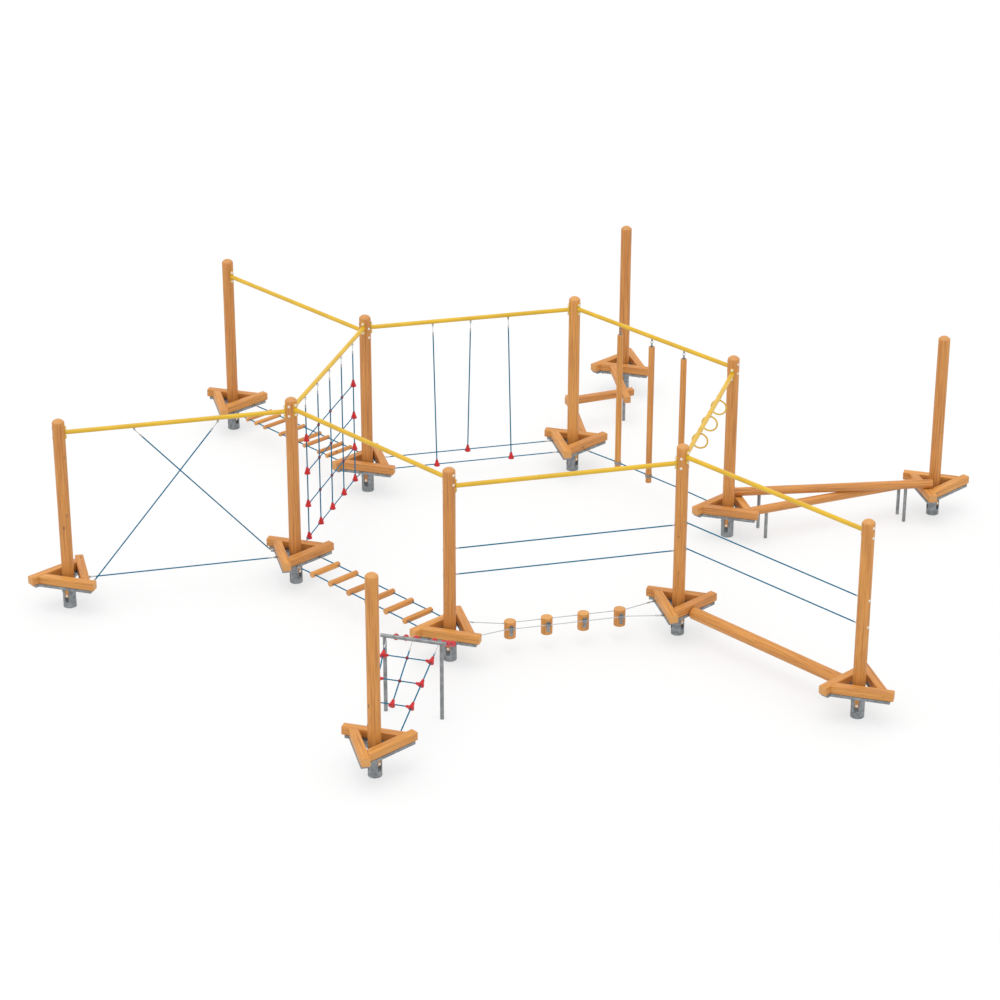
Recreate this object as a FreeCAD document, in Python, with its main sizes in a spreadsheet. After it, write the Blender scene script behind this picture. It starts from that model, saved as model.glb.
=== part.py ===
import FreeCAD, Part
import math
import os

# Monkey bars on twelve timber posts: six posts stand on a hexagon and six more stand one
# span further out, so every neighbour is one span away. Millimetres, +Z up, origin on the
# ground at the centre of the hexagon, +X through posts 1 and 7.

doc = FreeCAD.newDocument("MonkeyBars")
sheet = doc.addObject("Spreadsheet::Sheet", "Sizes")

sizes = {
    # layout and posts
    "spanLength": 3000, "postDia": 160, "postHeight": 2660, "postFoot": 150, "domeRise": 44,
    # platform of three beams round each post
    "deckTop": 500, "beamDepth": 110, "beamInner": 138, "beamWidth": 112, "beamHead": 460,
    "beamRound": 12,
    # steel under the platform and round the foot of the post
    "trayThick": 38, "trayGap": 2, "trayShort": 40, "webThick": 8, "webDepth": 80,
    "webOver": 60, "shoeWall": 6, "shoeGap": 52, "shoeRing": 85, "shoeBoltLow": 180,
    "shoeBoltStep": 45,
    # overhead bars
    "barDia": 60, "barWall": 4, "flangeWide": 46, "flangeTall": 170, "flangeThick": 8,
    "boltOffset": 65, "boltDia": 12, "holeGap": 1, "headDia": 24, "headTall": 9,
    "capDia": 36, "capTall": 10, "capWall": 4,
    # ropes and their steel ends
    "ropeDia": 18, "crossDia": 16, "lugWide": 26, "lugThick": 6, "lugEye": 54, "lugHole": 18,
    "linkRadius": 16, "linkWire": 7, "stemDia": 9, "ferruleDia": 22, "ferruleLong": 40,
    "hangerDrop": 200, "anchorSide": 200, "anchorReach": 285, "anchorDrop": 115,
    # crossed ropes, hanging ropes and climbing net
    "hangSpread": 540, "netStep": 480, "netTop": 1840, "netRise": 477, "coneDia": 84,
    "coneTip": 28, "coneLong": 95, "coneShare": 0.3, "knotDia": 42, "moldGap": 0.4,
    # rings
    "ringDia": 222, "ringWire": 22, "eyeWall": 4, "eyeLong": 20, "eyePlay": 2,
    "ringCollar": 3,
    # hanging poles
    "poleDia": 85, "poleFoot": 295, "poleTop": 2345, "poleStep": 600, "poleRopeHeight": 400,
    "poleLink": 24, "clampWall": 5, "clampTall": 40, "clampEar": 36, "washerDia": 51,
    # swinging stumps
    "stumpDia": 150, "stumpFoot": 215, "stumpTop": 445, "stumpStep": 480, "cableDia": 12,
    "cableHeight": 370, "strapWide": 40, "strapTall": 150, "strapThick": 6, "cableBlock": 34,
    "cableRun": 80,
    # rope ladders
    "rungDiaNear": 80, "rungDiaFar": 60, "rungStep": 360, "rungLong": 470, "rungHeight": 390,
    "rungRopeSide": 200, "rungRopeOver": 60,
    # handrails, logs, balance beams and legs
    "railUpper": 1545, "railLower": 1185, "railLift": 60, "logDia": 160, "logHeight": 385,
    "logPlateThick": 12, "logPlateWide": 70, "crossLogDia": 120, "balanceWidth": 100,
    "balanceLap": 50, "legDia": 46, "legInset": 485,
    # low net on its steel frame
    "frameTube": 48, "frameHalf": 360, "frameOver": 50, "frameTop": 1060, "lowNetSide": 330,
    "lowNetFirst": 216, "lowNetStep": 296, "lowNetWire": 150, "joinGap": 2,
}

for row, (alias, number) in enumerate(sizes.items(), start=1):
    sheet.set("A%d" % row, alias)
    sheet.set("B%d" % row, str(number))
    sheet.setAlias("B%d" % row, alias)
doc.recompute()


def size(alias):
    """The number held in the sheet's cell of that name."""
    return float(sheet.get(alias))


vec = FreeCAD.Vector
up = vec(0, 0, 1)

posts = {number: (size("spanLength"), 60 * (number - 1)) for number in range(1, 7)}
posts.update({number: (2 * size("spanLength"), 60 * (number - 7)) for number in range(7, 13)})


def postAxis(number):
    reach, bearing = posts[number]
    return vec(reach * math.cos(math.radians(bearing)), reach * math.sin(math.radians(bearing)), 0)


def deckTurn(number):
    """Bearing of the first deck beam's outward normal, so that each side faces a neighbour."""
    reach, bearing = posts[number]
    shift = 0 if reach < 1.5 * size("spanLength") else 60
    return (bearing + shift) % 120


def turned(degrees, base=vec(0, 0, 0)):
    return FreeCAD.Placement(base, FreeCAD.Rotation(up, degrees))


def spanPlace(start, end):
    """Frame of a span: X from post to post, Y to its left, Z up, origin on the ground."""
    run = postAxis(end) - postAxis(start)
    return turned(math.degrees(math.atan2(run.y, run.x)), postAxis(start))


# Small shape helpers
def rod(start, end, dia):
    """Round bar from one point to another."""
    return Part.makeCylinder(dia / 2, (end - start).Length, start, end - start)


def block(low, high):
    return Part.makeBox(high.x - low.x, high.y - low.y, high.z - low.z, low)


def placed(shape, place):
    copy = shape.copy()
    copy.Placement = place.multiply(copy.Placement)
    return copy


def joined(shapes):
    return shapes[0].fuse(shapes[1:]).removeSplitter() if len(shapes) > 1 else shapes[0]


def group(label, shapes):
    """A sub-part of one or more separate solids, made with Part's own functions."""
    solids = [solid for shape in shapes for solid in shape.Solids]
    feature = doc.addObject("Part::Feature", label)
    feature.Label = label
    feature.Shape = Part.makeCompound(solids)
    subParts.append(feature)
    return feature


def cylinder(name, radius, height, place):
    """Part::Cylinder with its sizes bound to the sheet."""
    item = doc.addObject("Part::Cylinder", name)
    item.setExpression("Radius", radius)
    item.setExpression("Height", height)
    item.Placement = place
    return item


def lying(place, base, degrees=90):
    """Placement of a cylinder laid along the span's X from a point of the span's frame."""
    return place.multiply(FreeCAD.Placement(base, FreeCAD.Rotation(vec(0, 1, 0), degrees)))


def cut(name, base, tools):
    hollow = doc.addObject("Part::MultiFuse", name + "Tools")
    hollow.Shapes = tools
    item = doc.addObject("Part::Cut", name)
    item.Base = base
    item.Tool = hollow
    return item


subParts = []

postRadius = size("postDia") / 2
span = size("spanLength")
middle = span / 2
deckUnder = size("deckTop") - size("beamDepth")
beamOuter = size("beamInner") + size("beamWidth")
barRadius = size("barDia") / 2
anchorHeight = size("deckTop") - size("anchorDrop")

# overhead bars: start post, end post, height. Bolts that cross in one post need 15 or more
# between their levels, so the bars sit at staggered heights.
bars = [(10, 4, 2470), (4, 3, 2490), (9, 3, 2410), (3, 2, 2470), (2, 1, 2490),
        (1, 6, 2420), (5, 6, 2405), (4, 5, 2510), (6, 12, 2500)]
# distances from mid-span
nearRungOffsets = [size("rungStep") * (step - 2.5) for step in range(6)]
farRungOffsets = [-890, -700, -500, -150, 210, 390, 700, 880]
ringOffsets = [-620, -70, 500]
# axes of the two crossed logs, as points of the span's frame
lowLogEnds = (vec(0, -276, 0), vec(span, 156, 0))
highLogEnds = (vec(140, 170, 0), vec(span - 120, -210, 0))
# centre lines of the three zigzag beams, and the two legs under their corners
zigzagLines = [(vec(100, -146, 0), vec(middle - 20, 460, 0)),
               (vec(middle - 173, 459, 0), vec(middle + 483, -397, 0)),
               (vec(span - 100, 168, 0), vec(middle + 140, -400, 0))]
zigzagLegs = [vec(middle - 135, 409, 0), vec(middle + 397, -285, 0)]
# handrail ropes: start post, end post, heights
rails = [(5, 6, (size("railUpper"), size("railLower"))),
         (6, 12, (size("railUpper") + size("railLift"), size("railLower") + size("railLift")))]


# Through-bolts
def barBolts():
    """(post, bearing towards the bar, height) of each bolt that holds a bar's flange."""
    found = []
    for start, end, height in bars:
        bearing = spanPlace(start, end).Rotation.toEuler()[0]
        for post, way in ((start, bearing), (end, bearing + 180)):
            for side in (-1, 1):
                found.append((post, way, height + side * size("boltOffset")))
    return found


def railBolts():
    found = []
    for start, end, heights in rails:
        bearing = spanPlace(start, end).Rotation.toEuler()[0]
        for height in heights:
            found += [(start, bearing, height), (end, bearing + 180, height)]
    return found


def shoeBolts():
    """One bolt through each foot plate; it leaves in the gap on the far side."""
    return [(post, deckTurn(post) + 60 + 120 * turn,
             size("shoeBoltLow") + turn * size("shoeBoltStep"))
            for post in posts for turn in range(3)]


def boltPlace(post, bearing, height):
    return turned(bearing, postAxis(post) + up * height)


def boltShape(headAt):
    """Shank through the post with its round head standing off by headAt on the +X side."""
    shank = rod(vec(-postRadius, 0, 0), vec(headAt, 0, 0), size("boltDia"))
    head = rod(vec(headAt, 0, 0), vec(headAt + size("headTall"), 0, 0), size("headDia"))
    return joined([shank, head])


def capShape():
    """Bevelled plastic cap on the post's far side."""
    radius = size("capDia") / 2
    rim = Part.makeCylinder(radius, size("capTall") / 2, vec(-postRadius, 0, 0), vec(-1, 0, 0))
    crown = Part.makeCone(radius, radius / 2, size("capTall") / 2,
                          vec(-postRadius - size("capTall") / 2, 0, 0), vec(-1, 0, 0))
    return joined([rim, crown])


def coverShape():
    """Plastic cover pressed over a bolt's head on a bar's flange."""
    seat = vec(postRadius + size("flangeThick"), 0, 0)
    crown = seat + vec(size("headTall") + size("capWall"), 0, 0)
    room = seat + vec(size("headTall") + size("holeGap"), 0, 0)
    return rod(seat, crown, size("capDia")).cut(rod(seat, room, size("headDia") + size("holeGap")))


# Posts
def makePost(number):
    """Turned timber post with a domed top, drilled for every bolt that crosses it."""
    name = "post_%02d" % number
    base = postAxis(number)
    shaft = cylinder(name + "Shaft", "Sizes.postDia / 2",
                     "Sizes.postHeight - Sizes.postFoot - Sizes.domeRise",
                     turned(0, base + up * size("postFoot")))
    dome = doc.addObject("Part::Sphere", name + "Dome")
    domeSum = "((Sizes.postDia / 2) ^ 2 + Sizes.domeRise ^ 2)"
    dome.setExpression("Radius", domeSum + " / (2 * Sizes.domeRise)")
    dome.setExpression("Angle1", "acos(Sizes.postDia * Sizes.domeRise / %s)" % domeSum)
    dome.Angle2 = 90
    doc.recompute([dome])
    dome.Placement = turned(0, base + up * (size("postHeight") - dome.Radius.Value))
    body = doc.addObject("Part::MultiFuse", name + "Body")
    body.Shapes = [shaft, dome]
    drills = []
    for post, bearing, height in barBolts() + railBolts() + shoeBolts():
        if post != number:
            continue
        place = lying(boltPlace(post, bearing, height), vec(-1.5 * postRadius, 0, 0))
        drills.append(cylinder("%sDrill%d" % (name, len(drills)),
                               "Sizes.boltDia / 2 + Sizes.holeGap / 2",
                               "1.5 * Sizes.postDia", place))
    item = cut(name + "Cut", body, drills)
    item.Label = name
    subParts.append(item)


# Platforms, trays and shoes
def deckBeam():
    """One deck beam with its outward normal on +X. Its head runs past the next beam on +Y and
    its tail is cut to lie against the side of the beam before it."""
    tail = -2 * size("beamHead")
    beam = block(vec(size("beamInner"), tail, deckUnder),
                 vec(beamOuter, size("beamHead"), size("deckTop")))
    rounded = [edge for edge in beam.Edges if edge.BoundBox.YMax > tail + 1]
    beam = beam.makeFillet(size("beamRound"), rounded)
    return beam.cut(tailCutter(size("beamInner")))


def tailCutter(reach):
    """Half-space block beyond the inner face of the beam before this one."""
    big = 4 * size("beamHead")
    cutter = block(vec(reach, -big, -big), vec(reach + big, big, big))
    return placed(cutter, turned(-120))


def trayBar():
    """Flat steel bar welded up against the underside of one deck beam."""
    inner = size("beamInner")
    bar = block(vec(inner, -2 * size("beamHead"), deckUnder - size("trayThick")),
                vec(beamOuter, size("beamHead") - size("trayShort"), deckUnder))
    return bar.cut(tailCutter(inner - size("trayGap")))


def trayWeb(trayBars):
    """Upright steel plate on +X that carries the flat bars from the shoe."""
    web = block(vec(0, -size("webThick") / 2, deckUnder - size("webDepth")),
                vec(2 * size("beamInner") + size("webOver"), size("webThick") / 2, deckUnder))
    web = web.cut(Part.makeCylinder(postRadius + size("shoeWall"), size("postHeight")))
    for bar in trayBars:
        web = web.cut(bar)
    return web


def postShoe():
    """Steel tube round the post's foot. A closed ring stands on the ground and three curved
    plates rise from it to the deck's underside, with a drilled hole for each bolt."""
    outer = postRadius + size("shoeWall")
    shoe = Part.makeCylinder(outer, deckUnder).cut(Part.makeCylinder(postRadius, deckUnder))
    half = size("shoeGap") / 2
    window = block(vec(0, -half, size("shoeRing")), vec(2 * outer, half, size("deckTop")))
    hole = rod(vec(0, 0, 0), vec(2 * outer, 0, 0), size("boltDia") + size("holeGap"))
    for step in range(3):
        level = size("shoeBoltLow") + step * size("shoeBoltStep")
        shoe = shoe.cut(placed(window, turned(120 * step)))
        shoe = shoe.cut(placed(hole, turned(60 + 120 * step, up * level)))
    return shoe


def makeDecks():
    beam = deckBeam()
    trayBars = [placed(trayBar(), turned(step)) for step in (0, 120, 240)]
    web = trayWeb([placed(bar, turned(-60)) for bar in trayBars])
    shoe = postShoe()
    decks = {"platforms_inner": [], "platforms_outer": []}
    flats = []
    webs = []
    shoes = []
    for number in posts:
        place = turned(deckTurn(number), postAxis(number))
        label = "platforms_inner" if number <= 6 else "platforms_outer"
        decks[label] += [placed(placed(beam, turned(step)), place) for step in (0, 120, 240)]
        flats += [placed(bar, place) for bar in trayBars]
        webs += [placed(placed(web, turned(step)), place) for step in (60, 180, 300)]
        shoes.append(placed(shoe, place))
    for label, beams in decks.items():
        group(label, beams)
    group("platform_trays", flats)
    group("tray_webs", webs)
    group("post_shoes", shoes)


# Overhead bars
def makeBar(start, end, height):
    """Steel tube with a saddle flange welded on each end, bolted to its two posts."""
    name = "bar_%02d_%02d" % (start, end)
    place = spanPlace(start, end)
    reach = "(Sizes.spanLength - Sizes.postDia)"
    first = vec(postRadius, 0, height)
    tube = cylinder(name + "Tube", "Sizes.barDia / 2", reach, lying(place, first))
    bore = cylinder(name + "Bore", "Sizes.barDia / 2 - Sizes.barWall", "Sizes.spanLength",
                    lying(place, vec(0, 0, height)))
    flanges = []
    cutters = [bore]
    for letter, at in (("A", 0), ("B", span)):
        inward = 1 if letter == "A" else -1
        flange = doc.addObject("Part::Box", name + "Flange" + letter)
        flange.setExpression("Length", "Sizes.flangeThick + Sizes.postDia / 8")
        flange.setExpression("Width", "Sizes.flangeWide")
        flange.setExpression("Height", "Sizes.flangeTall")
        nearEdge = at + inward * (postRadius + size("flangeThick"))
        low = min(nearEdge, nearEdge - inward * (size("flangeThick") + size("postDia") / 8))
        flange.Placement = place.multiply(
            turned(0, vec(low, -size("flangeWide") / 2, height - size("flangeTall") / 2)))
        flanges.append(flange)
        cutters.append(cylinder(name + "Seat" + letter, "Sizes.postDia / 2", "Sizes.postHeight",
                                place.multiply(turned(0, vec(at, 0, 0)))))
        for side in (-1, 1):
            drill = vec(at - size("postDia"), 0, height + side * size("boltOffset"))
            cutters.append(cylinder("%sDrill%s%d" % (name, letter, side + 1),
                                    "Sizes.boltDia / 2 + Sizes.holeGap / 2",
                                    "2 * Sizes.postDia", lying(place, drill)))
    body = doc.addObject("Part::MultiFuse", name + "Body")
    body.Shapes = [tube] + flanges
    item = cut(name + "Cut", body, cutters)
    item.Label = name
    subParts.append(item)


# Rope fittings
def linkShape(centre, along, across, radius):
    """Closed round link; along is the pull direction, across lies in the link's plane."""
    return Part.makeTorus(radius, size("linkWire") / 2, centre, along.cross(across))


def barHanger():
    """Lug welded under a bar, with its eye below, at the bar's axis and with the bar along X."""
    half = size("lugWide") / 2
    thick = size("lugThick")
    lug = block(vec(-half, -thick / 2, -size("lugEye")), vec(half, thick / 2, 0))
    tip = Part.makeCylinder(half, thick, vec(0, -thick / 2, -size("lugEye")), vec(0, 1, 0))
    eye = Part.makeCylinder(size("lugHole") / 2, 2 * thick, vec(0, -thick, -size("lugEye")),
                            vec(0, 1, 0))
    bar = rod(vec(-2 * half, 0, 0), vec(2 * half, 0, 0), size("barDia"))
    return joined([lug, tip]).cut(bar).cut(eye)


def ropeEnd(at, towards, drop=0):
    """Link, steel stem and pressed ferrule at a rope's end, and where the bare rope begins.
    A drop sets how far below the bar's axis the rope begins."""
    along = (towards - at).normalize()
    link = linkShape(at + along * size("linkRadius"), along, vec(0, 1, 0), size("linkRadius"))
    hook = 2 * size("linkRadius") + size("linkWire") / 2
    first = at + along * hook
    stem = max(0, drop - size("lugEye") - hook - size("ferruleLong"))
    neck = first + along * stem
    last = neck + along * size("ferruleLong")
    ferrule = rod(neck, last, size("ferruleDia"))
    if stem:
        ferrule = joined([rod(first, neck, size("stemDia")), ferrule])
    return [link, ferrule], last


def deckLug(place, side, atEnd):
    """Upright eye plate on the side of a platform, reaching towards the span."""
    thick = size("lugThick")
    half = size("lugWide") / 2
    reach = size("anchorReach")
    plate = block(vec(beamOuter, side - thick / 2, anchorHeight - half),
                  vec(reach, side + thick / 2, anchorHeight + half))
    tip = Part.makeCylinder(half, thick, vec(reach, side - thick / 2, anchorHeight),
                            vec(0, 1, 0))
    eye = Part.makeCylinder(size("lugHole") / 2, 2 * thick,
                            vec(reach, side - thick, anchorHeight), vec(0, 1, 0))
    shape = joined([plate, tip]).cut(eye)
    if atEnd:
        shape = placed(shape, turned(180, vec(span, 0, 0)))
    return placed(shape, place)


def anchor(side, atEnd):
    """Point of a deck lug's eye, in the span's frame."""
    reach = size("anchorReach")
    return vec(span - reach if atEnd else reach, side, anchorHeight)


hangers = []
fittings = []
deckLugs = []


def addHanger(place, along, height):
    """Put a hanger on a bar and give its eye."""
    shape = placed(barHanger(), turned(0, vec(along, 0, height)))
    hangers.append(placed(shape, place))
    return vec(along, 0, height - size("lugEye"))


def addLug(place, side, atEnd):
    """Put a lug on a platform, turned round at the span's far end, and give its eye."""
    deckLugs.append(deckLug(place, -side if atEnd else side, atEnd))
    return anchor(side, atEnd)


def rope(place, start, end, startEnd=True, endEnd=True, dia=None):
    """Straight rope from eye to eye in a span's frame. Its fittings are kept apart."""
    first, last = start, end
    drop = size("hangerDrop") if start.z > size("railUpper") else 0
    if startEnd:
        shapes, first = ropeEnd(start, end, drop)
        fittings.extend(placed(shape, place) for shape in shapes)
    if endEnd:
        shapes, last = ropeEnd(end, start)
        fittings.extend(placed(shape, place) for shape in shapes)
    return rod(first, last, dia or size("ropeDia"))


def moulded(at, along, ropes, cone=True):
    """Plastic joint round a rope crossing: a cone with its wide base behind, or a ball. Each
    rope is given as its two ends and its diameter, and is cut out with a little room."""
    axis = vec(along).normalize()
    long = size("coneLong")
    if cone:
        joint = Part.makeCone(size("coneDia") / 2, size("coneTip") / 2, long,
                              at - axis * (long * size("coneShare")), axis)
    else:
        joint = Part.makeSphere(size("knotDia") / 2, at)
    for start, end, dia in ropes:
        joint = joint.cut(rod(start, end, dia + size("moldGap")))
    return joint


# Span 10-4: crossed ropes
def makeCrossedRopes():
    """Two steep ropes that cross, and one level rope between the platforms."""
    place = spanPlace(10, 4)
    height = bars[0][2]
    spread = size("hangSpread")
    tops = [addHanger(place, along, height) for along in (middle - spread, middle + spread)]
    strands = [rope(place, tops[0], addLug(place, size("anchorSide"), True)),
               rope(place, tops[1], addLug(place, -size("anchorSide"), False)),
               rope(place, addLug(place, 0, False), addLug(place, 0, True))]
    return [placed(strand, place) for strand in strands]


# Span 4-3: climbing net
def makeClimbingNet():
    """Five hanging ropes and four level ropes, with moulded joints where they meet."""
    place = spanPlace(4, 3)
    columns = [middle + size("netStep") * (step - 2) for step in range(5)]
    rows = [size("netTop") - size("netRise") * step for step in range(4)]
    thin = size("crossDia")
    strands = []
    lines = []
    for along in columns:
        eye = addHanger(place, along, bars[1][2])
        foot = vec(along, 0, rows[-1])
        strands.append(rope(place, eye, foot, endEnd=False))
        lines.append((vec(along, 0, rows[0] + size("coneLong")), foot, size("ropeDia")))
    for height in rows:
        ends = (vec(columns[0], 0, height), vec(columns[-1], 0, height))
        strands.append(rod(*ends, thin))
        lines.append((*ends, thin))
    for atEnd, along in ((False, columns[0]), (True, columns[-1])):
        eye = addLug(place, 0, atEnd)
        corner = vec(along, 0, rows[-1])
        strands.append(rope(place, eye, corner, endEnd=False, dia=thin))
        lines.append((eye, corner, thin))
    joints = []
    for along in columns:
        for height in rows:
            edge = height == rows[-1] or along in (columns[0], columns[-1])
            joints.append(moulded(vec(along, 0, height), up, lines, edge))
    group("climbing_net_ropes", [placed(joined(strands), place)])
    return [placed(joint, place) for joint in joints]


# Span 3-2: hanging ropes
def makeHangingRopes():
    """Three ropes drop from the bar to two low ropes, turn about front and back."""
    place = spanPlace(3, 2)
    side = size("anchorSide")
    spread = size("hangSpread")
    low = {way: rope(place, addLug(place, way, False), addLug(place, way, True),
                     dia=size("crossDia")) for way in (-side, side)}
    joints = []
    for along, way in ((middle - spread, -side), (middle, side), (middle + spread, -side)):
        eye = addHanger(place, along, bars[3][2])
        foot = vec(along, way, anchorHeight)
        low[way] = low[way].fuse(rope(place, eye, foot, endEnd=False))
        lines = [(foot + (eye - foot) / 2, foot, size("ropeDia")),
                 (anchor(way, False), anchor(way, True), size("crossDia"))]
        joints.append(moulded(foot, eye - foot, lines))
    return ([placed(shape, place) for shape in low.values()],
            [placed(joint, place) for joint in joints])


# Rope ladders
def makeLadder(label, start, end, offsets, rungDia):
    """Timber rungs threaded on two ropes, at their distances from mid-span. The middle rolls
    and the rope ends stay with the platforms."""
    place = spanPlace(start, end)
    alongs = [middle + offset for offset in offsets]
    height = size("rungHeight")
    side = size("rungRopeSide")
    over = size("rungRopeOver")
    first, last = alongs[0] - over, alongs[-1] + over
    runs = []
    tails = []
    for way in (-side, side):
        runs.append(rod(vec(first, way, height), vec(last, way, height), size("ropeDia")))
        for atEnd, stop in ((False, first - size("joinGap")), (True, last + size("joinGap"))):
            tails.append(rope(place, addLug(place, way, atEnd), vec(stop, way, height),
                              endEnd=False))
    holes = [rod(vec(0, way, height), vec(span, way, height),
                 size("ropeDia") + size("holeGap")) for way in (-side, side)]
    half = size("rungLong") / 2
    rungs = [rod(vec(along, -half, height), vec(along, half, height), rungDia)
             .cut(holes[0]).cut(holes[1]) for along in alongs]
    group(label + "_rungs", [placed(rung, place) for rung in rungs])
    group(label + "_ropes", [placed(run, place) for run in runs])
    return [placed(tail, place) for tail in tails]


# Span 1-6: rings
def makeRings():
    """Three rings hang in eyes welded to collars on the bar; each ring tilts in its eye."""
    place = spanPlace(1, 6)
    wire = size("ringWire")
    reach = (size("ringDia") - wire) / 2
    boreRadius = wire / 2 + size("eyePlay")
    eyeOuter = boreRadius + size("eyeWall")
    height = bars[5][2]
    eyeHeight = height - barRadius - eyeOuter + size("ringCollar") / 2
    half = size("eyeLong") / 2
    eyes = []
    for number, offset in enumerate(ringOffsets, start=1):
        along = middle + offset
        centre = vec(along, 0, eyeHeight)
        sleeve = rod(centre - vec(0, half, 0), centre + vec(0, half, 0), 2 * eyeOuter)
        collar = rod(vec(along - half, 0, height), vec(along + half, 0, height),
                     size("barDia") + 2 * size("ringCollar"))
        bore = rod(centre - vec(0, 2 * half, 0), centre + vec(0, 2 * half, 0), 2 * boreRadius)
        tube = rod(vec(0, 0, height), vec(span, 0, height), size("barDia"))
        eyes.append(placed(joined([sleeve, collar]).cut(bore).cut(tube), place))
        ring = doc.addObject("Part::Torus", "ring_%dTorus" % number)
        ring.setExpression("Radius1", "(Sizes.ringDia - Sizes.ringWire) / 2")
        ring.setExpression("Radius2", "Sizes.ringWire / 2")
        ring.Placement = lying(place, centre - up * reach)
        ring.Label = "ring_%d" % number
        subParts.append(ring)
    group("ring_eyes", eyes)


# Span 2-1: hanging poles
def makePoles():
    """Three timber poles hang from the bar, tied near their feet by one rope."""
    place = spanPlace(2, 1)
    height = bars[4][2]
    level = size("poleRopeHeight")
    poleRadius = size("poleDia") / 2
    clampRadius = poleRadius + size("clampWall")
    ear = clampRadius + size("clampEar")
    links = []
    clamps = []
    runs = []
    alongs = [middle + size("poleStep") * (step - 1) for step in range(3)]
    for number, along in enumerate(alongs, start=1):
        eye = addHanger(place, along, height)
        pole = cylinder("pole_%dShaft" % number, "Sizes.poleDia / 2",
                        "Sizes.poleTop - Sizes.poleFoot",
                        place.multiply(turned(0, vec(along, 0, size("poleFoot")))))
        pole.Label = "pole_%d" % number
        subParts.append(pole)
        link = linkShape(eye - up * size("poleLink"), up, vec(0, 1, 0), size("poleLink"))
        lowEye = eye.z - 2 * size("poleLink")
        tipRadius = size("lugWide") / 2
        thick = size("lugThick")
        washer = Part.makeCylinder(size("washerDia") / 2, thick,
                                   vec(along, 0, size("poleTop")))
        lug = block(vec(along - tipRadius, -thick / 2, size("poleTop")),
                    vec(along + tipRadius, thick / 2, lowEye))
        tip = Part.makeCylinder(tipRadius, thick, vec(along, -thick / 2, lowEye), vec(0, 1, 0))
        hole = Part.makeCylinder(size("lugHole") / 2, 2 * thick, vec(along, -thick, lowEye),
                                 vec(0, 1, 0))
        links += [link, joined([washer, lug, tip]).cut(hole)]
        band = Part.makeCylinder(clampRadius, size("clampTall"),
                                 vec(along, 0, level - size("clampTall") / 2))
        ears = block(vec(along - ear, -thick / 2, level - tipRadius),
                     vec(along + ear, thick / 2, level + tipRadius))
        inside = Part.makeCylinder(poleRadius, size("poleTop"), vec(along, 0, 0))
        clamps.append(joined([band, ears]).cut(inside))
    for first, last in zip(alongs[:-1], alongs[1:]):
        runs.append(rod(vec(first + ear, 0, level), vec(last - ear, 0, level),
                        size("ropeDia")))
    gap = size("joinGap")
    tails = [rope(place, addLug(place, 0, False), vec(alongs[0] - ear - gap, 0, level),
                  endEnd=False),
             rope(place, addLug(place, 0, True), vec(alongs[-1] + ear + gap, 0, level),
                  endEnd=False)]
    group("pole_links", [placed(link, place) for link in links])
    group("pole_clamps", [placed(clamp, place) for clamp in clamps])
    group("pole_rope", [placed(run, place) for run in runs])
    return [placed(tail, place) for tail in tails]


# Span 5-6: swinging stumps
def makeStumps():
    """Four timber stumps hang between two steel cables, held by bolted straps."""
    place = spanPlace(5, 6)
    radius = size("stumpDia") / 2
    thick = size("strapThick")
    level = size("cableHeight")
    clampSize = size("cableBlock")
    cableSide = radius + thick + clampSize / 4
    straps = []
    alongs = [middle + size("stumpStep") * (step - 1.5) for step in range(4)]
    stumps = doc.addObject("Part::Compound", "StumpSet")
    stumps.Links = [cylinder("stump%dLog" % number, "Sizes.stumpDia / 2",
                             "Sizes.stumpTop - Sizes.stumpFoot",
                             place.multiply(turned(0, vec(along, 0, size("stumpFoot")))))
                    for number, along in enumerate(alongs, start=1)]
    stumps.Label = "stumps"
    subParts.append(stumps)
    for along in alongs:
        for way in (-1, 1):
            low = min(way * radius, way * (radius + thick))
            high = max(way * radius, way * (radius + thick))
            foot = size("stumpTop") - (size("strapTall") + clampSize)
            strap = block(vec(along - size("strapWide") / 2, low, foot),
                          vec(along + size("strapWide") / 2, high, foot + size("strapTall")))
            inner = min(way * (radius + thick), way * (radius + thick + clampSize / 2))
            outer = max(way * (radius + thick), way * (radius + thick + clampSize / 2))
            clamp = block(vec(along - clampSize, inner, level - clampSize / 2),
                          vec(along + clampSize, outer, level + clampSize / 2))
            hole = rod(vec(0, way * cableSide, level), vec(span, way * cableSide, level),
                       size("cableDia"))
            straps.append(joined([strap, clamp]).cut(hole))
    first, last = alongs[0] - size("cableRun"), alongs[-1] + size("cableRun")
    runs = []
    tails = []
    for way in (-1, 1):
        side = way * cableSide
        runs.append(rod(vec(first, side, level), vec(last, side, level), size("cableDia")))
        for atEnd, stop in ((False, first - size("joinGap")), (True, last + size("joinGap"))):
            tails.append(rope(place, addLug(place, way * size("anchorSide"), atEnd),
                              vec(stop, side, level), endEnd=False, dia=size("cableDia")))
    group("stump_straps", [placed(strap, place) for strap in straps])
    group("stump_cables", [placed(run, place) for run in runs])
    group("stump_cable_ends", [placed(tail, place) for tail in tails])


# Handrails
def makeRails():
    """Level handrail ropes with a ferrule against each post."""
    strands = []
    ends = []
    for start, end, heights in rails:
        place = spanPlace(start, end)
        for height in heights:
            near = vec(postRadius, 0, height)
            far = vec(span - postRadius, 0, height)
            step = vec(size("ferruleLong"), 0, 0)
            ends += [placed(rod(near, near + step, size("ferruleDia")), place),
                     placed(rod(far - step, far, size("ferruleDia")), place)]
            strands.append(placed(rod(near + step, far - step, size("ropeDia")), place))
    fittings.extend(ends)
    return strands


# Logs and balance beams
def betweenDecks():
    """Space between the outer faces of two facing decks, in the span's frame."""
    wide = size("postHeight")
    return block(vec(beamOuter, -wide, 0), vec(span - beamOuter, wide, wide))


def crossLine(start, end, along):
    """Point above the given distance along the span on the straight line of a crossed log."""
    share = (along - start.x) / (end.x - start.x)
    return start + (end - start) * share


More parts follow.
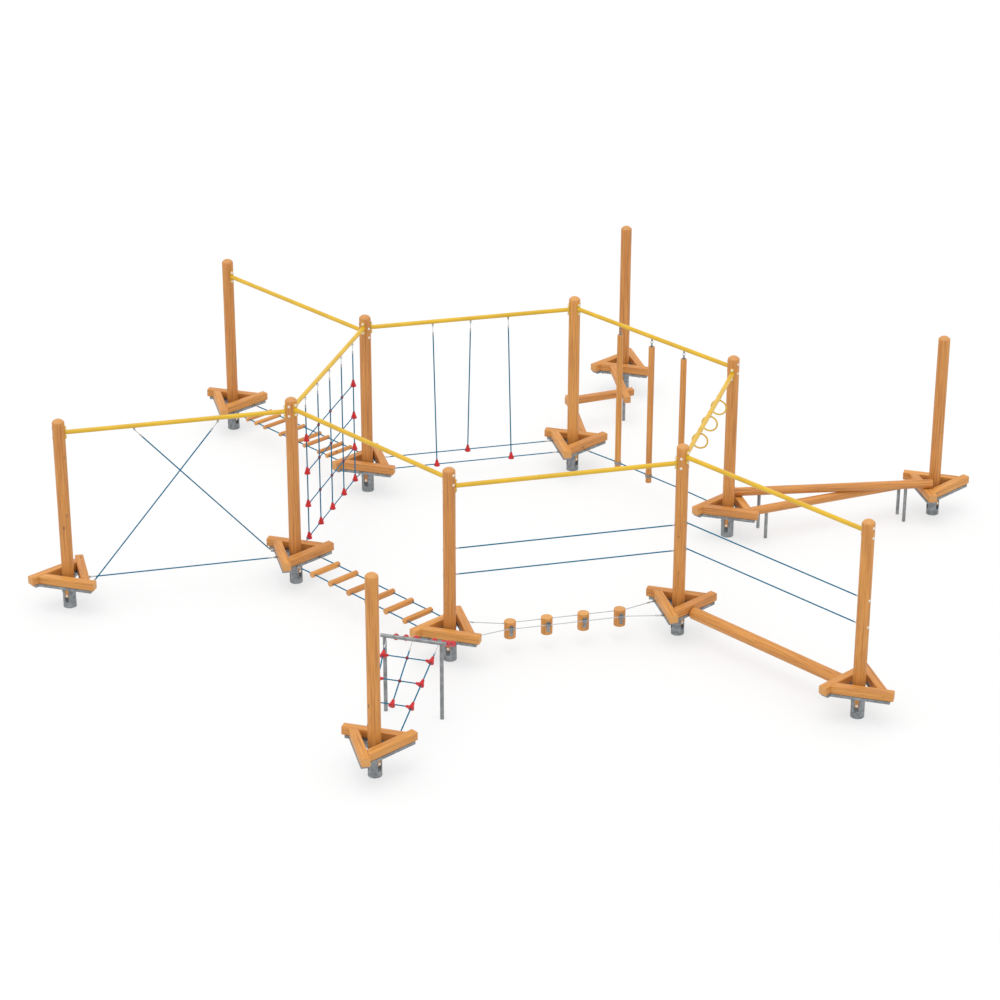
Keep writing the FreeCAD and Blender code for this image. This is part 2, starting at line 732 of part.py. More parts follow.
def makeLogs():
    """A thick log low between posts 6 and 12, and two crossed logs between posts 1 and 7."""
    place = spanPlace(6, 12)
    plate = size("logPlateThick")
    log = cylinder("log_06_12Log", "Sizes.logDia / 2",
                   "Sizes.spanLength - 2 * (Sizes.beamInner + Sizes.beamWidth"
                   " + Sizes.logPlateThick)",
                   lying(place, vec(beamOuter + plate, 0, size("logHeight"))))
    log.Label = "log_06_12"
    subParts.append(log)
    half = size("logPlateWide") / 2
    for along in (beamOuter, span - beamOuter - plate):
        low = vec(along, -half, size("logHeight") - half)
        deckLugs.append(placed(block(low, low + vec(plate, 2 * half, 2 * half)), place))
    place = spanPlace(1, 7)
    radius = size("crossLogDia") / 2
    lowEnds = [point + up * (size("deckTop") - radius) for point in lowLogEnds]
    highEnds = [point + up * (size("deckTop") + radius) for point in highLogEnds]
    lowLog = rod(*lowEnds, 2 * radius).common(betweenDecks())
    highLog = rod(*highEnds, 2 * radius)
    group("crossed_logs", [placed(lowLog, place), placed(highLog, place)])
    legs = []
    for along in (size("legInset"), span - size("legInset")):
        for ends in (lowEnds, highEnds):
            top = crossLine(*ends, along)
            leg = rod(vec(top.x, top.y, 0), top, size("legDia")).cut(lowLog).cut(highLog)
            legs.append(placed(leg, place))
    return legs


def balanceBeam(start, end):
    """Squared beam from point to point with its top flush with the decks."""
    run = end - start
    wide = size("balanceWidth")
    beam = block(vec(0, -wide / 2, size("deckTop") - wide),
                 vec(run.Length, wide / 2, size("deckTop")))
    return placed(beam, turned(math.degrees(math.atan2(run.y, run.x)), start))


def makeBalance():
    """Three squared beams in a zigzag between posts 2 and 8, half-lapped at both corners."""
    place = spanPlace(2, 8)
    first, cross, last = [balanceBeam(*line) for line in zigzagLines]
    first = first.common(betweenDecks())
    last = last.common(betweenDecks())
    wide = size("postHeight")
    under = block(vec(0, -wide, 0), vec(span, wide, size("deckTop") - size("balanceLap")))
    over = block(vec(0, -wide, size("deckTop") - size("balanceLap")), vec(span, wide, wide))
    beams = [first.cut(cross.common(over)),
             cross.cut(first.common(under)).cut(last.common(under)),
             last.cut(cross.common(over))]
    group("balance_beams", [placed(beam, place) for beam in beams])
    legs = []
    for corner in zigzagLegs:
        legs.append(placed(rod(corner, corner + up * (size("deckTop") - size("balanceWidth")),
                               size("legDia")), place))
    return legs


# Span 5-11: low net
def makeLowNet():
    """A steel frame at mid-span with a sloping net down to the deck on each side."""
    place = spanPlace(5, 11)
    half = size("frameHalf")
    top = size("frameTop") - size("frameTube") / 2
    reach = half + size("frameOver")
    beam = rod(vec(middle, -reach, top), vec(middle, reach, top), size("frameTube"))
    legs = [rod(vec(middle, way * half, 0), vec(middle, way * half, top), size("frameTube"))
            for way in (-1, 1)]
    group("low_net_frame", [placed(joined([beam] + legs), place)])
    nets = []
    joints = []
    for atEnd in (False, True):
        strands = []
        ropes = []
        for side in (-1, 1):
            foot = addLug(place, side * size("anchorSide"), atEnd)
            head = vec(middle, side * size("lowNetSide"), top)
            strands.append(lowStrand(place, beam, head, foot))
            ropes.append((head, foot, size("ropeDia")))
        centreHead = (ropes[0][0] + ropes[1][0]) / 2
        for row in range(3):
            flat = size("frameTube") / 2 + size("lowNetFirst") + row * size("lowNetStep")
            points = [head + (foot - head) * (flat / abs(foot.x - head.x))
                      for head, foot, dia in ropes]
            centre = (points[0] + points[1]) / 2
            level = (*points, size("crossDia"))
            strands.append(rod(*level))
            down = (centreHead, centre, size("ropeDia"))
            for point, (head, foot, dia) in zip(points, ropes):
                joints.append(moulded(point, head - foot, [(head, foot, dia), level]))
            if row == 2:
                strands.append(lowStrand(place, beam, centreHead, centre, footEnd=False))
                joints.append(moulded(centre, centreHead - centre, [down, level]))
            else:
                long = (centreHead, centre + (centre - centreHead), size("ropeDia"))
                joints.append(moulded(centre, up, [long, level], cone=False))
        nets.append(joined(strands))
    group("low_net_ropes", [placed(net, place) for net in nets])
    return [placed(joint, place) for joint in joints]


def lowStrand(place, beam, head, foot, footEnd=True):
    """Rope of the low net: a steel stem and ferrule at the frame and a link at the deck."""
    along = (foot - head).normalize()
    start = head + along * (size("frameTube") / 2 + size("lowNetWire"))
    neck = start - along * size("ferruleLong")
    stem = joined([rod(head, neck, size("stemDia")), rod(neck, start, size("ferruleDia"))])
    fittings.append(placed(stem.cut(beam), place))
    if not footEnd:
        return rod(start, foot, size("ropeDia"))
    shapes, last = ropeEnd(foot, head)
    fittings.extend(placed(shape, place) for shape in shapes)
    return rod(start, last, size("ropeDia"))


# Build everything
for number in posts:
    makePost(number)
makeDecks()
for bar in bars:
    makeBar(*bar)

barBolt = boltShape(postRadius + size("flangeThick"))
shoeBolt = boltShape(postRadius + size("shoeWall"))
railBolt = rod(vec(-postRadius, 0, 0), vec(postRadius, 0, 0), size("boltDia"))
group("through_bolts", [placed(barBolt, boltPlace(*where)) for where in barBolts()]
      + [placed(railBolt, boltPlace(*where)) for where in railBolts()]
      + [placed(shoeBolt, boltPlace(*where)) for where in shoeBolts()])
group("bolt_caps", [placed(capShape(), boltPlace(*where))
                    for where in barBolts() + railBolts() + shoeBolts()]
      + [placed(coverShape(), boltPlace(*where)) for where in barBolts()])

fixedRopes = makeCrossedRopes()
redJoints = makeClimbingNet()
lowRopes, cones = makeHangingRopes()
fixedRopes += lowRopes
redJoints += cones
ropeTails = makeLadder("ladder_near", 4, 5, nearRungOffsets, size("rungDiaNear"))
ropeTails += makeLadder("ladder_far", 9, 3, farRungOffsets, size("rungDiaFar"))
makeRings()
ropeTails += makePoles()
makeStumps()
fixedRopes += makeRails()
legs = makeLogs() + makeBalance()
redJoints += makeLowNet()
group("fixed_ropes", fixedRopes)
group("rope_tails", ropeTails)
group("rope_joints", redJoints)
group("steel_legs", legs)
group("rope_hangers", hangers)
group("deck_lugs", deckLugs)
group("rope_fittings", fittings)

# Check and write
doc.recompute()
for item in doc.Objects:
    if "Invalid" in item.State or "Error" in item.State:
        raise RuntimeError("%s is %s" % (item.Label, item.State))
labels = [item.Label for item in subParts]
if len(set(labels)) != len(labels):
    raise RuntimeError("two sub-parts share a name")
for item in subParts:
    if item.Shape.isNull() or not item.Shape.isValid():
        raise RuntimeError("%s has a bad shape" % item.Label)
os.makedirs("parts", exist_ok=True)
for item in subParts:
    item.Shape.exportStep("parts/%s.step" % item.Label)
print(len(subParts), "sub-parts written")
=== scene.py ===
import bpy
import math
import numpy as np
from mathutils import Matrix, Vector


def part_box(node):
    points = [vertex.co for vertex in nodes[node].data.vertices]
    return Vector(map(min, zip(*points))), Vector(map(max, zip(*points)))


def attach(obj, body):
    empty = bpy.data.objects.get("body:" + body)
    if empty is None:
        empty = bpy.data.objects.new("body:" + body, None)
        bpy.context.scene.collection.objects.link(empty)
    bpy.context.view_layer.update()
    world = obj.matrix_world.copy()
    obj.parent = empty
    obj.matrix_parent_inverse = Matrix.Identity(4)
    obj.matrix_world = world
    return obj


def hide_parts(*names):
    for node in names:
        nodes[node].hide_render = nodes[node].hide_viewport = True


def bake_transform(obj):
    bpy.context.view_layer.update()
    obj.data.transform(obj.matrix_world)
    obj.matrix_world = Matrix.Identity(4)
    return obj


# Monkey bars on twelve timber posts. The steel keeps its CAD meshes; timber, ropes and moulded
# joints are made here as numpy surfaces in the places that the frame gives. Metres throughout.

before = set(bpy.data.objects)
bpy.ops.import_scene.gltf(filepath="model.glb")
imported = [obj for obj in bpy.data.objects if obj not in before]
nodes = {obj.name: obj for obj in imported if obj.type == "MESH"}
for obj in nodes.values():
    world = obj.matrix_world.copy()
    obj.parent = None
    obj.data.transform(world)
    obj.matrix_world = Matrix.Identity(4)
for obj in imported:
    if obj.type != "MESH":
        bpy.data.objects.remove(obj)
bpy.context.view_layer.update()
draw = np.random.default_rng(41)  # the one source of chance, so every run is the same
print("frame loaded:", len(nodes), "CAD nodes")

up = np.array([0.0, 0.0, 1.0])


# places, all read from the frame
def boxOf(node):
    low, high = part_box(node)
    return np.array(low), np.array(high)


def middleOf(node):
    low, high = boxOf(node)
    return (low + high) / 2


# Where a post's axis meets the ground: the middle of its box, at height 0.
def postFoot(number):
    return middleOf("post_%02d" % number) * (1, 1, 0)


# A span's own frame: origin at the first post, unit vectors along it, to its left and up.
def spanOf(start, end):
    first, last = postFoot(start), postFoot(end)
    length = np.linalg.norm(last - first)
    along = (last - first) / length
    return {"origin": first, "along": along, "left": np.cross(up, along), "length": length}


def at(span, along, left, height):
    return span["origin"] + along * span["along"] + left * span["left"] + height * up


def unit(vector):
    return vector / np.linalg.norm(vector)


# What the CAD model uses for every rope end, in metres.
ends = {
    "eyeReach": 0.285,   # eye of a deck lug, from the post's axis along the span
    "eyeHeight": 0.385,
    "eyeSide": 0.200,    # the outer eyes, left and right of the span's line
    "hangerEye": 0.054,  # eye of a bar hanger, under the bar's axis
    "bareAtDeck": 0.0755,  # link and ferrule, from the eye to the bare rope
    "bareAtBar": 0.146,   # link, stem and ferrule
}


def deckEye(span, left, far):
    along = span["length"] - ends["eyeReach"] if far else ends["eyeReach"]
    return at(span, along, left, ends["eyeHeight"])


def barEye(span, bar, along):
    return at(span, along, 0, middleOf(bar)[2] - ends["hangerEye"])


# The same line with a length taken off each end.
def shorten(start, end, atStart=0.0, atEnd=0.0):
    way = unit(end - start)
    return start + way * atStart, end - way * atEnd


# surfaces
# Closed skin over a stack of rings, an array of rows x columns x 3. Columns run right-handed
# about the way the rows go, so faces point outwards. Each end closes with a fan to its pole.
# along holds the rows' UV, around the columns' UV with one more for the seam.
def skin(rings, along, around, startPole, endPole, share=None, pith=None):
    rows, columns = rings.shape[:2]
    count = rows * columns
    verts = np.concatenate([rings.reshape(-1, 3), [startPole], [endPole]])
    i, j = np.meshgrid(np.arange(rows - 1), np.arange(columns), indexing="ij")
    i, j = i.ravel(), j.ravel()
    k = (j + 1) % columns
    quads = np.stack([i * columns + j, i * columns + k, (i + 1) * columns + k, (i + 1) * columns + j], 1)
    quadUv = np.stack([np.stack([around[j], along[i]], 1), np.stack([around[j + 1], along[i]], 1),
                       np.stack([around[j + 1], along[i + 1]], 1), np.stack([around[j], along[i + 1]], 1)], 1)
    c = np.arange(columns)
    n = (c + 1) % columns
    last = (rows - 1) * columns
    fans, fanUv = [], []
    for first, second, pole, row in ((n, c, count, 0), (last + c, last + n, count + 1, rows - 1)):
        fans.append(np.stack([first, second, np.full(columns, pole)], 1))
        edge = (around[c + 1], around[c]) if row == 0 else (around[c], around[c + 1])
        v = np.full(columns, along[row])
        fanUv.append(np.stack([np.stack([edge[0], v], 1), np.stack([edge[1], v], 1),
                               np.stack([(edge[0] + edge[1]) / 2, v], 1)], 1))
    share = np.zeros(rows) if share is None else share
    pith = np.zeros(rows) if pith is None else pith
    return {
        "verts": verts,
        "loops": np.concatenate([quads.ravel(), fans[0].ravel(), fans[1].ravel()]),
        "sides": np.concatenate([np.full(len(quads), 4), np.full(2 * columns, 3)]),
        "uv": np.concatenate([quadUv.reshape(-1, 2), fanUv[0].reshape(-1, 2), fanUv[1].reshape(-1, 2)]),
        "endShare": np.concatenate([np.repeat(share, columns), share[[0, -1]]]),
        "pith": np.concatenate([np.repeat(pith, columns), [0, 0]]),
    }


# One object from many skins, with its UV map and its timber attributes, riding on a body.
# Given no body, it rides on none.
def makePiece(name, parts, material, body="root", stands=(), sharp=40):
    mesh = bpy.data.meshes.new(name)
    counts = np.array([len(p["verts"]) for p in parts])
    starts = np.concatenate([[0], np.cumsum(counts)[:-1]])
    verts = np.concatenate([p["verts"] for p in parts])
    loops = np.concatenate([p["loops"] + s for p, s in zip(parts, starts)])
    sides = np.concatenate([p["sides"] for p in parts])
    mesh.vertices.add(len(verts))
    mesh.loops.add(len(loops))
    mesh.polygons.add(len(sides))
    mesh.vertices.foreach_set("co", verts.astype(np.float32).ravel())
    mesh.loops.foreach_set("vertex_index", loops.astype(np.int32))
    mesh.polygons.foreach_set("loop_start", np.concatenate([[0], np.cumsum(sides)[:-1]]).astype(np.int32))
    mesh.update(calc_edges=True)
    mesh.validate()
    layer = mesh.uv_layers.new(name="grain")
    layer.data.foreach_set("uv", np.concatenate([p["uv"] for p in parts]).astype(np.float32).ravel())
    for key in ("endShare", "pith"):
        attribute = mesh.attributes.new(key, "FLOAT", "POINT")
        attribute.data.foreach_set("value", np.concatenate([p[key] for p in parts]).astype(np.float32))
    tint = mesh.attributes.new("tint", "FLOAT", "POINT")
    tint.data.foreach_set("value", np.repeat(draw.random(len(parts)), counts).astype(np.float32))
    mesh.shade_smooth()
    mesh.set_sharp_from_angle(angle=math.radians(sharp))
    mesh.materials.append(material)
    piece = bpy.data.objects.new(name, mesh)
    bpy.context.scene.collection.objects.link(piece)
    if body is not None:
        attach(piece, body)
    if stands:
        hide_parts(*stands)
    return piece


# Two unit vectors square to a direction and to each other, right-handed with it.
def crossAxes(way):
    side = np.array([1.0, 0, 0]) if abs(way[2]) > 0.9 else up
    first = unit(np.cross(side, way))
    return first, np.cross(way, first)


# materials
# sRGB hex to linear: c/12.92 below 0.04045, ((c + 0.055)/1.055)^2.4 above it.
def linear(hexColour, alpha=1.0):
    parts = [int(hexColour[k:k + 2], 16) / 255 for k in (1, 3, 5)]
    return tuple(c / 12.92 if c <= 0.04045 else ((c + 0.055) / 1.055) ** 2.4 for c in parts) + (alpha,)


def newMaterial(name):
    material = bpy.data.materials.new(name)
    material.use_nodes = True
    material.node_tree.nodes.clear()
    return material, material.node_tree


# One node: its settings, then its sockets, each given a value or linked from a socket.
def add(tree, kind, inputs=None, **settings):
    node = tree.nodes.new("ShaderNode" + kind)
    for key, value in settings.items():
        setattr(node, key, value)
    for key, value in (inputs or {}).items():
        if isinstance(value, bpy.types.NodeSocket):
            tree.links.new(value, node.inputs[key])
        else:
            node.inputs[key].default_value = value
    return node


# A colour ramp through (place, hex) stops.
def ramp(tree, factor, stops):
    node = add(tree, "ValToRGB", {"Fac": factor})
    elements = node.color_ramp.elements
    while len(elements) < len(stops):
        elements.new(0.5)
    for element, (place, colour) in zip(elements, stops):
        element.position = place
        element.color = linear(colour)
    return node.outputs["Color"]


# A share of the fine noise on top of the broad one, and the same less its excess over the middle.
def mixedNoise(tree, fine, broad, share=0.35, excess=0.17):
    both = add(tree, "Math", {0: fine, 1: share, 2: broad}, operation="MULTIPLY_ADD").outputs[0]
    return both, add(tree, "Math", {0: both, 1: excess}, operation="SUBTRACT").outputs[0]


# A value's 0 to 1 spread over a low and a high one.
def spread(tree, value, low, high):
    return add(tree, "MapRange", {"Value": value, "To Min": low, "To Max": high}).outputs[0]


# Bump from a height, as strong as its share says; distance is the relief in metres.
def bumpFrom(tree, height, strength, distance):
    return add(tree, "Bump", {"Strength": strength, "Distance": distance, "Height": height}).outputs["Normal"]


def finishMaterial(tree, colour, roughness, normal, **fixed):
    inputs = {"Base Color": colour, "Roughness": roughness, "Normal": normal}
    inputs.update({key.replace("_", " "): value for key, value in fixed.items()})
    shader = add(tree, "BsdfPrincipled", inputs)
    add(tree, "OutputMaterial", {"Surface": shader.outputs["BSDF"]})


timberLook = {
    "dark": "#ae6f33", "mid": "#d08b3f", "light": "#e19f50",  # latewood, body, earlywood
    "knot": "#6e3a1c", "endDark": "#b57436", "endLight": "#dda05a", "check": "#4a2c18",
    "streakWide": 0.016, "streakLong": 0.70,  # real grain is 2 to 5 mm; drawn wide enough to show
    "fineWide": 0.004, "fineLong": 0.16,
    "knotApart": 0.33, "knotSize": 0.045, "knotStretch": 2.4, "knotChance": 0.34, "knotDepth": 0.75,
    "checkWide": 0.030, "checkLong": 0.9, "checkHalf": 0.0035,  # half a hairline, in noise
    "patchWide": 0.11, "patchLong": 0.45, "patchFrom": 0.60, "checkDepth": 0.55,
    "ringApart": 0.0055, "ringWobble": 9.0, "wobbleScale": 28.0,
    "tintShift": 37.0,  # moves the pattern, so that no two timbers share it
    "value": (0.92, 1.05), "hue": (0.497, 0.503),
    "roughness": (0.44, 0.62), "relief": 0.0007,
}


# Machine-rounded pine under a honey glaze. Gives long soft streaks, few knots, a dull sheen
# and growth rings on the cut ends.
def glazedPine():
    look = timberLook
    material, tree = newMaterial("glazedPine")
    uv = add(tree, "UVMap", uv_map="grain").outputs["UV"]
    tint = add(tree, "Attribute", attribute_name="tint").outputs["Fac"]
    endShare = add(tree, "Attribute", attribute_name="endShare").outputs["Fac"]
    pith = add(tree, "Attribute", attribute_name="pith").outputs["Fac"]
    shift = add(tree, "Math", {0: tint, 1: look["tintShift"]}, operation="MULTIPLY").outputs[0]
    parts = add(tree, "SeparateXYZ", {"Vector": uv})
    place = add(tree, "CombineXYZ", {"X": parts.outputs["X"], "Y": parts.outputs["Y"],
                                     "Z": shift}).outputs[0]

    def noise(wide, long, detail, source=place):
        scaled = add(tree, "VectorMath", {0: source, 1: (1 / wide, 1 / long, 1.0)}, operation="MULTIPLY")
        return add(tree, "TexNoise", {"Vector": scaled.outputs[0], "Scale": 1.0, "Detail": detail,
                                      "Roughness": 0.6}).outputs["Fac"]

    streak = noise(look["streakWide"], look["streakLong"], 3.0)
    fine = noise(look["fineWide"], look["fineLong"], 2.0)
    both, levelled = mixedNoise(tree, fine, streak)
    side = ramp(tree, levelled, [(0.30, look["dark"]), (0.50, look["mid"]), (0.72, look["light"])])

    # knots: the middles of wide-spaced cells, a third of them, stretched along the grain
    knotScale = (look["knotStretch"] / look["knotApart"], 1 / look["knotApart"], 1.0)
    knotPlace = add(tree, "VectorMath", {0: place, 1: knotScale}, operation="MULTIPLY").outputs[0]
    cells = add(tree, "TexVoronoi", {"Vector": knotPlace, "Scale": 1.0})
    chance = add(tree, "SeparateColor", {"Color": cells.outputs["Color"]}).outputs[0]
    rare = add(tree, "Math", {0: chance, 1: look["knotChance"]}, operation="LESS_THAN").outputs[0]
    near = add(tree, "MapRange", {"Value": cells.outputs["Distance"], "From Min": look["knotSize"] * 1.2,
                                  "From Max": look["knotSize"] * 2.6, "To Min": look["knotDepth"],
                                  "To Max": 0.0}).outputs[0]
    knot = add(tree, "Math", {0: near, 1: rare}, operation="MULTIPLY").outputs[0]
    side = add(tree, "Mix", {"Factor": knot, "A": side, "B": linear(look["knot"])},
               data_type="RGBA").outputs["Result"]

    # drying checks: hairlines where a long-drawn noise crosses its middle
    crack = noise(look["checkWide"], look["checkLong"], 0.0)
    line = add(tree, "Math", {0: crack, 1: 0.5, 2: look["checkHalf"]}, operation="COMPARE").outputs[0]
    patch = noise(look["patchWide"], look["patchLong"], 0.0)
    some = add(tree, "Math", {0: patch, 1: look["patchFrom"]}, operation="GREATER_THAN").outputs[0]
    check = add(tree, "Math", {0: line, 1: some}, operation="MULTIPLY").outputs[0]
    faint = add(tree, "Math", {0: check, 1: look["checkDepth"]}, operation="MULTIPLY").outputs[0]
    side = add(tree, "Mix", {"Factor": faint, "A": side, "B": linear(look["check"])},
               data_type="RGBA").outputs["Result"]

    # growth rings on the cut ends, by distance from the pith
    ringPhase = add(tree, "Math", {0: pith, 1: 2 * math.pi / look["ringApart"]},
                    operation="MULTIPLY").outputs[0]
    solidPlace = add(tree, "TexCoord").outputs["Object"]
    wobble = add(tree, "TexNoise", {"Vector": solidPlace, "Scale": look["wobbleScale"],
                                    "Detail": 2.0}).outputs["Fac"]
    wobbled = add(tree, "Math", {0: wobble, 1: look["ringWobble"], 2: ringPhase},
                  operation="MULTIPLY_ADD").outputs[0]
    wave = add(tree, "Math", {0: wobbled}, operation="SINE").outputs[0]
    ringShare = add(tree, "Math", {0: wave, 1: 0.5, 2: 0.5}, operation="MULTIPLY_ADD").outputs[0]
    rings = ramp(tree, ringShare, [(0.0, look["endLight"]), (0.7, look["endLight"]), (1.0, look["endDark"])])
    colour = add(tree, "Mix", {"Factor": endShare, "A": side, "B": rings}, data_type="RGBA").outputs["Result"]

    # every timber a little lighter or darker than the next
    value = spread(tree, tint, *look["value"])
    hue = spread(tree, tint, *look["hue"])
    colour = add(tree, "HueSaturation", {"Hue": hue, "Value": value, "Color": colour}).outputs["Color"]
    relief = add(tree, "Math", {0: check, 1: -1.5, 2: both}, operation="MULTIPLY_ADD").outputs[0]
    bump = bumpFrom(tree, relief, 0.5, look["relief"])
    rough = spread(tree, fine, *look["roughness"])
    finishMaterial(tree, colour, rough, bump, Coat_Weight=0.12, Coat_Roughness=0.35)
    return material


coatLook = {"yellow": "#e2b611", "shade": "#d6aa0c", "peel": 0.0022, "mottle": 0.35,
            "roughness": (0.30, 0.42)}


# Polyester powder coat baked on steel tube. Gives an even, strong yellow with a soft gloss
# and the faint ripple called orange peel.
def yellowPowderCoat():
    look = coatLook
    material, tree = newMaterial("yellowPowderCoat")
    place = add(tree, "TexCoord").outputs["Object"]
    broad = add(tree, "TexNoise", {"Vector": place, "Scale": 1 / look["mottle"],
                                   "Detail": 3.0}).outputs["Fac"]
    peel = add(tree, "TexNoise", {"Vector": place, "Scale": 1 / look["peel"], "Detail": 1.0}).outputs["Fac"]
    colour = ramp(tree, broad, [(0.35, look["shade"]), (0.65, look["yellow"])])
    rough = spread(tree, broad, *look["roughness"])
    bump = bumpFrom(tree, peel, 0.12, 0.0002)
    finishMaterial(tree, colour, rough, bump, Coat_Weight=0.25, Coat_Roughness=0.2)
    return material


zincLook = {"dark": "#74777a", "mid": "#8b8f92", "light": "#a3a7a9", "spangle": 0.008, "streak": 0.06,
            "roughness": (0.42, 0.62)}


# Hot-dip galvanised steel. Gives matt grey with crystal spangles about a centimetre across
# and soft darker runs.
def galvanisedSteel(name="galvanisedSteel", look=zincLook):
    material, tree = newMaterial(name)
    place = add(tree, "TexCoord").outputs["Object"]
    cells = add(tree, "TexVoronoi", {"Vector": place, "Scale": 1 / look["spangle"]})
    flake = add(tree, "SeparateColor", {"Color": cells.outputs["Color"]}).outputs[0]
    runs = add(tree, "TexNoise", {"Vector": place, "Scale": 1 / look["streak"], "Detail": 4.0}).outputs["Fac"]
    both, levelled = mixedNoise(tree, flake, runs)
    colour = ramp(tree, levelled, [(0.28, look["dark"]), (0.5, look["mid"]), (0.75, look["light"])])
    rough = spread(tree, flake, *look["roughness"])
    bump = bumpFrom(tree, both, 0.15, 0.0003)
    finishMaterial(tree, colour, rough, bump, Metallic=0.75)
    return material


# groove is painted shade: the dark colour laid in the crease between strands
ropeLook = {"blue": "#006e92", "groove": "#00425a", "fleck": "#087ea4", "fibre": 0.0016}


# Six strands of spun yarn laid round a steel core. Gives a soft matt rope with painted shade, a
# dark line, in each groove. The UV map counts strands round the rope and metres along it.
def laidPolyester(name="bluePolyesterRope", look=ropeLook, metallic=0.0, roughness=0.72, gloss=0.12):
    material, tree = newMaterial(name)
    uv = add(tree, "UVMap", uv_map="grain").outputs["UV"]
    parts = add(tree, "SeparateXYZ", {"Vector": uv})
    inStrand = add(tree, "Math", {0: parts.outputs["X"], 1: 1.0}, operation="PINGPONG").outputs[0]
    # nine cells across a strand, each four fibres long
    fibrePlace = add(tree, "VectorMath", {0: uv, 1: (9.0, 1 / look["fibre"] / 4, 1.0)},
                     operation="MULTIPLY").outputs[0]
    fibre = add(tree, "TexNoise", {"Vector": fibrePlace, "Scale": 1.0, "Detail": 2.0}).outputs["Fac"]
    # painted shade: the colour darkens towards each groove, where the strands meet
    across = add(tree, "Math", {0: parts.outputs["X"]}, operation="FRACT").outputs[0]
    groove = add(tree, "Math", {0: across, 1: 0.5}, operation="SUBTRACT").outputs[0]
    edge = add(tree, "Math", {0: groove}, operation="ABSOLUTE").outputs[0]
    body = ramp(tree, fibre, [(0.35, look["blue"]), (0.7, look["fleck"])])
    dark = add(tree, "MapRange", {"Value": edge, "From Min": 0.34, "From Max": 0.5}).outputs[0]
    colour = add(tree, "Mix", {"Factor": dark, "A": body, "B": linear(look["groove"])},
                 data_type="RGBA").outputs["Result"]
    height = add(tree, "Math", {0: fibre, 1: inStrand}, operation="ADD").outputs[0]
    bump = bumpFrom(tree, height, 0.3, 0.0004)
    finishMaterial(tree, colour, roughness, bump, Metallic=metallic, Specular_IOR_Level=gloss)
    return material


# Injection-moulded polyamide. Gives an even colour with a fine spark-eroded grain and a soft
# highlight.
def mouldedPlastic(name, colour, shade, roughness=0.38, grain=0.0016):
    material, tree = newMaterial(name)
    place = add(tree, "TexCoord").outputs["Object"]
    broad = add(tree, "TexNoise", {"Vector": place, "Scale": 1 / 0.05, "Detail": 2.0}).outputs["Fac"]
    fine = add(tree, "TexNoise", {"Vector": place, "Scale": 1 / grain, "Detail": 0.0}).outputs["Fac"]
    body = ramp(tree, broad, [(0.3, shade), (0.7, colour)])
    rough = spread(tree, broad, roughness - 0.05, roughness + 0.07)
    bump = bumpFrom(tree, fine, 0.15, 0.0002)
    finishMaterial(tree, body, rough, bump)
    return material


timber = glazedPine()
powderCoat = yellowPowderCoat()
zinc = galvanisedSteel()
smoothZinc = galvanisedSteel("spunZincTube", {"dark": "#7b7e80", "mid": "#909394", "light": "#a3a6a7",
                                              "spangle": 0.003, "streak": 0.08, "roughness": (0.42, 0.56)})
stainless = galvanisedSteel("tumbledStainless", {"dark": "#a3a6a8", "mid": "#b9bcbe", "light": "#d2d4d5",
                                                 "spangle": 0.003, "streak": 0.02,
                                                 "roughness": (0.28, 0.4)})
blueRope = laidPolyester()
# the cable's groove colour is painted shade between its strands, as on the rope
steelRope = laidPolyester("strandedSteelCable", {"blue": "#b9bdbf", "groove": "#7e8386", "fleck": "#dfe2e3",
                                                 "fibre": 0.0012}, metallic=0.6, roughness=0.4,
                          gloss=0.5)
redMoulding = mouldedPlastic("redPolyamide", "#d0121a", "#b80d14")
redKnot = mouldedPlastic("darkRedPolyamide", "#8c1420", "#700e18", roughness=0.45)
ivoryCap = mouldedPlastic("ivoryPolyamide", "#efe7d8", "#e2d8c6", roughness=0.42)
print("materials made:", len(bpy.data.materials))

steelFinish = {
    "through_bolts": stainless, "bolt_caps": ivoryCap, "platform_trays": zinc, "tray_webs": zinc,
    "post_shoes": zinc, "steel_legs": smoothZinc, "low_net_frame": smoothZinc, "rope_hangers": zinc,
    "deck_lugs": zinc, "rope_fittings": stainless, "pole_links": zinc, "pole_clamps": zinc,
    "stump_straps": zinc,
}
for name, node in nodes.items():
    material = steelFinish.get(name, powderCoat if name.startswith(("bar_", "ring_")) else zinc)
    if not node.material_slots:
        node.data.materials.append(material)
    for materialSlot in node.material_slots:
        materialSlot.material = material


# turned timber
timberShape = {"columns": 36, "rowStep": 0.10, "arris": 0.006, "wander": 0.0005, "uvShift": 7.0}


# Rows of a rod's outline as (distance, radius, end share): a quarter circle at each end.
def rodRows(length, radius, arris):
    turn = np.linspace(0, math.pi / 2, 5)
    foot = np.stack([arris * (1 - np.cos(turn)), radius - arris + arris * np.sin(turn), np.cos(turn) ** 2], 1)
    head = foot[::-1] * (-1, 1, 1) + (length, 0, 0)
    count = max(2, int(length / timberShape["rowStep"]))
    middle = np.linspace(arris, length - arris, count + 2)[1:-1]
    shaft = np.stack([middle, np.full(count, radius), np.zeros(count)], 1)
    return np.concatenate([foot, shaft, head])


# Surface of revolution: point = axis(distance) + (radius + wander) * (cos a, sin a), where the
# wander is two slow waves round the timber that change phase along it.
def turnedTimber(start, end, outline, columns=timberShape["columns"], dome=0.0):
    way = unit(end - start)
    first, second = crossAxes(way)
    angle = np.linspace(0, 2 * math.pi, columns + 1)
    phase = draw.random(4) * 2 * math.pi
    distance, radius, share = outline.T
    d, a = distance[:, None], angle[None, :-1]
    wander = timberShape["wander"] * (np.sin(2 * a + 1.7 * d + phase[0])
                                      + 0.6 * np.sin(3 * a - 2.3 * d + phase[1]))
    r = radius[:, None] + wander
    rings = (start + d[..., None] * way + (r * np.cos(a))[..., None] * first
             + (r * np.sin(a))[..., None] * second)
    along = distance + draw.random() * timberShape["uvShift"]
    around = angle * radius.max() + phase[2]
    return skin(rings, along, around, start + way * distance[0], start + way * (distance[-1] + dome),
                share, radius)


